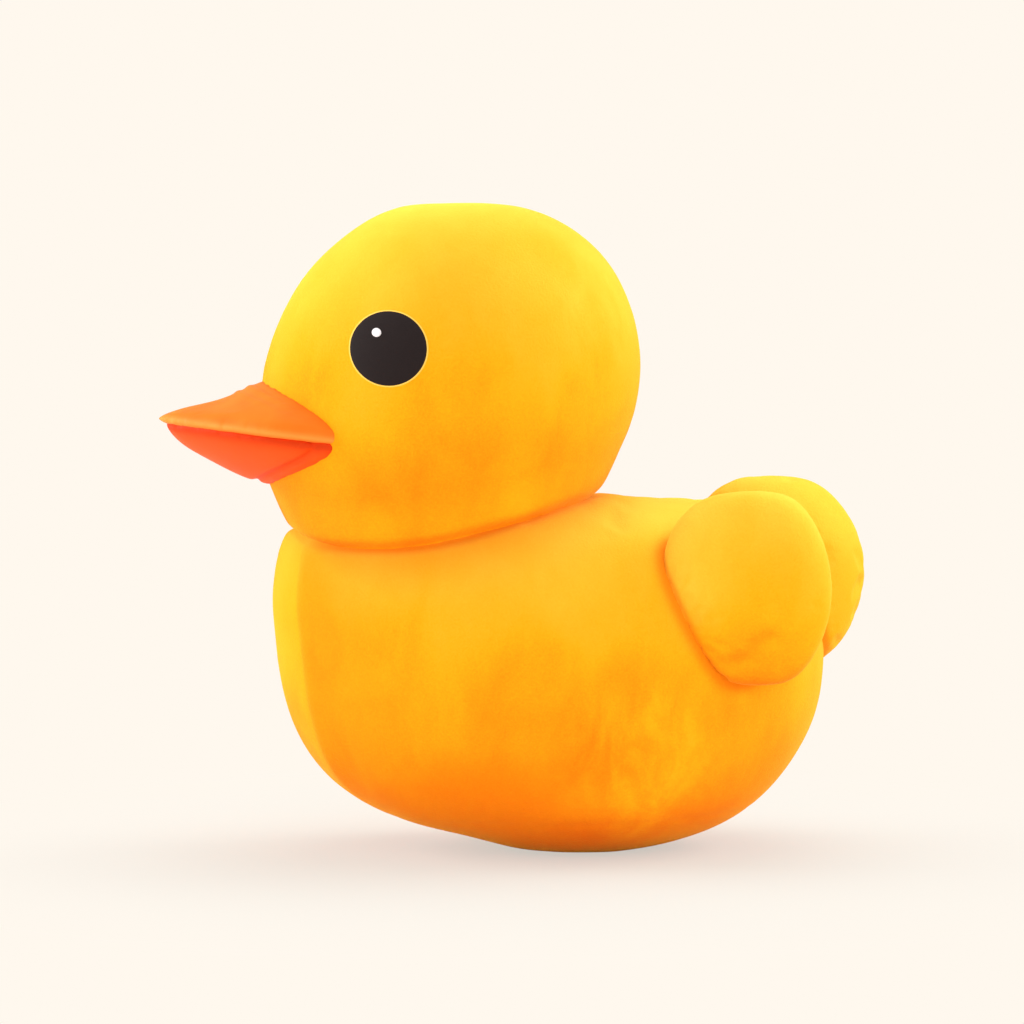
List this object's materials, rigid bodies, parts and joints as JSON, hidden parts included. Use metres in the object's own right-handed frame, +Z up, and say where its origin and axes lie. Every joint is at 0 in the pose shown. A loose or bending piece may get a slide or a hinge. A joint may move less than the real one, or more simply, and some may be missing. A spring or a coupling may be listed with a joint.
{
  "type": "plush duck",
  "caption": "Stuffed plush duck that sits on a flattened base: round body, large round head, short two-part bill, felt eyes, small sewn wings and an upturned tail.",
  "frame": {"origin": "middle of the underside of the box around the duck, on the surface that it sits on", "axes": "the duck faces -Y, its left side is +X, +Z is up"},
  "size_m": [0.2476, 0.4361, 0.398],
  "materials": {
    "plush": "short orange-yellow plush pile with a soft sheen",
    "fibre_fill": "loose white polyester fibre",
    "brushed_cloth": "thin brushed orange cloth, almost smooth",
    "black_felt": "flat felt, brown-black",
    "white_felt": "flat felt, off-white"
  },
  "bodies": {
    "duck": {"body_left_panel": "plush", "body_right_panel": "plush", "chest_panel": "plush", "base_panel": "plush", "body_fill": "fibre_fill", "head_left_panel": "plush", "head_right_panel": "plush", "head_fill": "fibre_fill", "tail_left_panel": "plush", "tail_right_panel": "plush", "tail_fill": "fibre_fill", "bill_upper_panel": "brushed_cloth", "bill_lower_panel": "brushed_cloth", "bill_fill": "fibre_fill", "left_eye": "black_felt", "left_eye_dot": "white_felt", "right_eye": "black_felt", "right_eye_dot": "white_felt"},
    "left_wing": {"left_wing_outer_panel": "plush", "left_wing_inner_panel": "plush", "left_wing_fill": "fibre_fill"},
    "right_wing": {"right_wing_outer_panel": "plush", "right_wing_inner_panel": "plush", "right_wing_fill": "fibre_fill"}
  },
  "joints": [
    {"name": "left_wing_flap", "type": "hinge", "parent": "duck", "child": "left_wing", "pos_m": [0.104, 0.11604, 0.1198], "axis": [0, 0.4039, -0.9148], "range_deg": [0, 30], "stiffness_Nm_per_rad": 0.06},
    {"name": "right_wing_flap", "type": "hinge", "parent": "duck", "child": "right_wing", "pos_m": [-0.104, 0.11604, 0.1198], "axis": [0, -0.4039, 0.9148], "range_deg": [0, 30], "stiffness_Nm_per_rad": 0.06}
  ]
}
